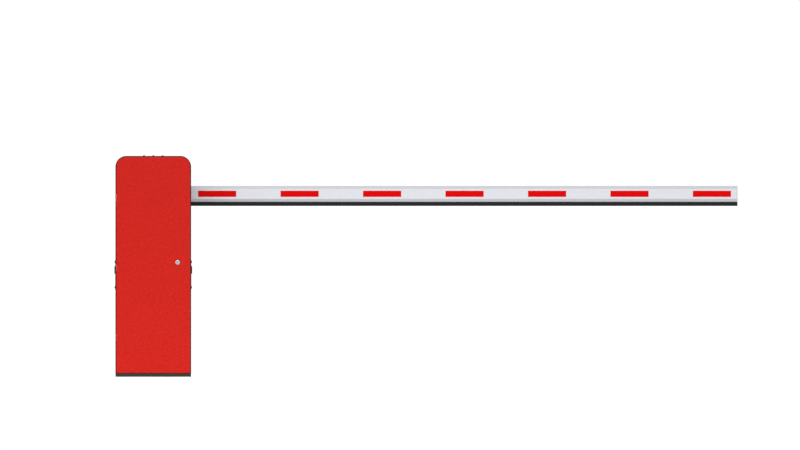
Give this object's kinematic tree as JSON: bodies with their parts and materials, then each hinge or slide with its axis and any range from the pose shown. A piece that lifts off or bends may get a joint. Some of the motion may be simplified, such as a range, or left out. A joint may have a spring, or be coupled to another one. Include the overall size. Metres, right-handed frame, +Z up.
{
  "type": "parking barrier gate",
  "caption": "Sheet-steel cabinet with a hinged front door and a worm-drive linkage that swings a striped aluminium boom behind it.",
  "frame": {"origin": "middle of the cabinet's base, on the floor, at the centre of the four anchor holes", "axes": "+X along the lowered boom, -Y out of the door, +Y towards the boom's side, +Z up"},
  "size_m": [2.876, 0.3745, 1.019],
  "materials": {
    "shell_paint": "fine textured powder coat, dark grey",
    "door_paint": "fine textured powder coat, red",
    "zinc_steel": "zinc plated, satin",
    "dark_steel": "black oxide",
    "machined_steel": "turned and ground",
    "boom_alu": "extruded, satin anodised",
    "cast_alu": "sand cast, satin",
    "drive_paint": "smooth enamel, blue grey",
    "lock_chrome": "polished",
    "bronze": "machined bronze",
    "rubber": "matt black",
    "reflective_red": "retro-reflective film, red",
    "black_plastic": "fine grain, black",
    "grey_plastic": "fine grain, light grey",
    "lens_plastic": "dark red infrared filter, polished",
    "cable_sheath": "extruded sheath, grey black"
  },
  "bodies": {
    "frame": {"base_tray": "shell_paint", "cabinet_shell": "shell_paint", "rear_panel": "door_paint", "rear_panel_screws": "dark_steel", "roof_screws": "dark_steel", "roof_brace": "zinc_steel", "mechanism_plate": "zinc_steel", "frame_bolts": "zinc_steel", "bearing_housing": "cast_alu", "bearing_outer_rings": "machined_steel", "bearing_balls": "machined_steel", "stop_bracket": "zinc_steel", "stop_buffers": "rubber", "gearbox_casing": "cast_alu", "gearbox_cover": "cast_alu", "motor_casing": "drive_paint", "motor_terminal_box": "black_plastic", "fan_cover": "drive_paint", "spring_anchor": "zinc_steel", "spring_eyebolts": "zinc_steel", "balance_springs": "dark_steel", "controller_box": "grey_plastic", "controller_lid": "grey_plastic", "din_rail": "zinc_steel", "din_modules": "grey_plastic", "terminal_blocks": "grey_plastic", "motor_cable": "cable_sheath", "cable_glands": "black_plastic", "photocell_housings": "black_plastic", "photocell_lenses": "lens_plastic", "photocell_screws": "dark_steel", "shaft_ring": "black_plastic", "hinge_brackets": "zinc_steel"},
    "boom": {"main_shaft": "machined_steel", "bearing_inner_rings": "machined_steel", "shaft_keys": "machined_steel", "rocker_arm": "zinc_steel", "rocker_pins": "machined_steel", "boom_holder": "cast_alu", "boom_clamp": "shell_paint", "clamp_bolts": "zinc_steel", "boom_profile": "boom_alu", "boom_rubber_edge": "rubber", "boom_end_caps": "grey_plastic", "reflectors": "reflective_red"},
    "crank": {"crank_arm": "zinc_steel", "crank_pin": "machined_steel", "output_shaft": "machined_steel", "worm_wheel": "bronze"},
    "rod": {"connecting_rod": "zinc_steel", "rod_ends": "zinc_steel", "rod_bushes": "bronze"},
    "rotor": {"motor_shaft": "machined_steel", "fan": "black_plastic", "hand_wheel": "black_plastic"},
    "door": {"door_panel": "door_paint", "door_gasket": "rubber", "lock_body": "lock_chrome"},
    "lock": {"lock_plug": "machined_steel", "lock_cam": "zinc_steel"}
  },
  "joints": [
    {"name": "boom_swing", "type": "hinge", "parent": "frame", "child": "boom", "pos_m": [0, 0.19, 0.8416], "axis": [0, -1, 0], "range_deg": [0, 90], "deforming": ["balance_springs"]},
    {"name": "crank_turn", "type": "hinge", "parent": "frame", "child": "crank", "pos_m": [0, 0, 0.491], "axis": [0, -1, 0], "range_deg": [0, 90]},
    {"name": "rod_pivot", "type": "hinge", "parent": "crank", "child": "rod", "pos_m": [0.07071, -0.016, 0.42029], "axis": [0, -1, 0], "range_deg": [-90, 0]},
    {"name": "motor_spin", "type": "hinge", "parent": "frame", "child": "rotor", "pos_m": [-0.063, 0.045, 0.3], "axis": [0, 0, 1], "range_deg": [0, 3240]},
    {"name": "door_swing", "type": "hinge", "parent": "frame", "child": "door", "pos_m": [-0.1655, -0.1355, 0.5], "axis": [0, 0, -1], "range_deg": [0, 90]},
    {"name": "lock_turn", "type": "hinge", "parent": "door", "child": "lock", "pos_m": [0.1116, -0.141, 0.526], "axis": [0, -1, 0], "range_deg": [0, 90]}
  ],
  "couplings": [
    {"joint": "crank_turn", "follows": "boom_swing", "ratio": 1},
    {"joint": "rod_pivot", "follows": "boom_swing", "ratio": -1},
    {"joint": "motor_spin", "follows": "boom_swing", "ratio": 36}
  ]
}
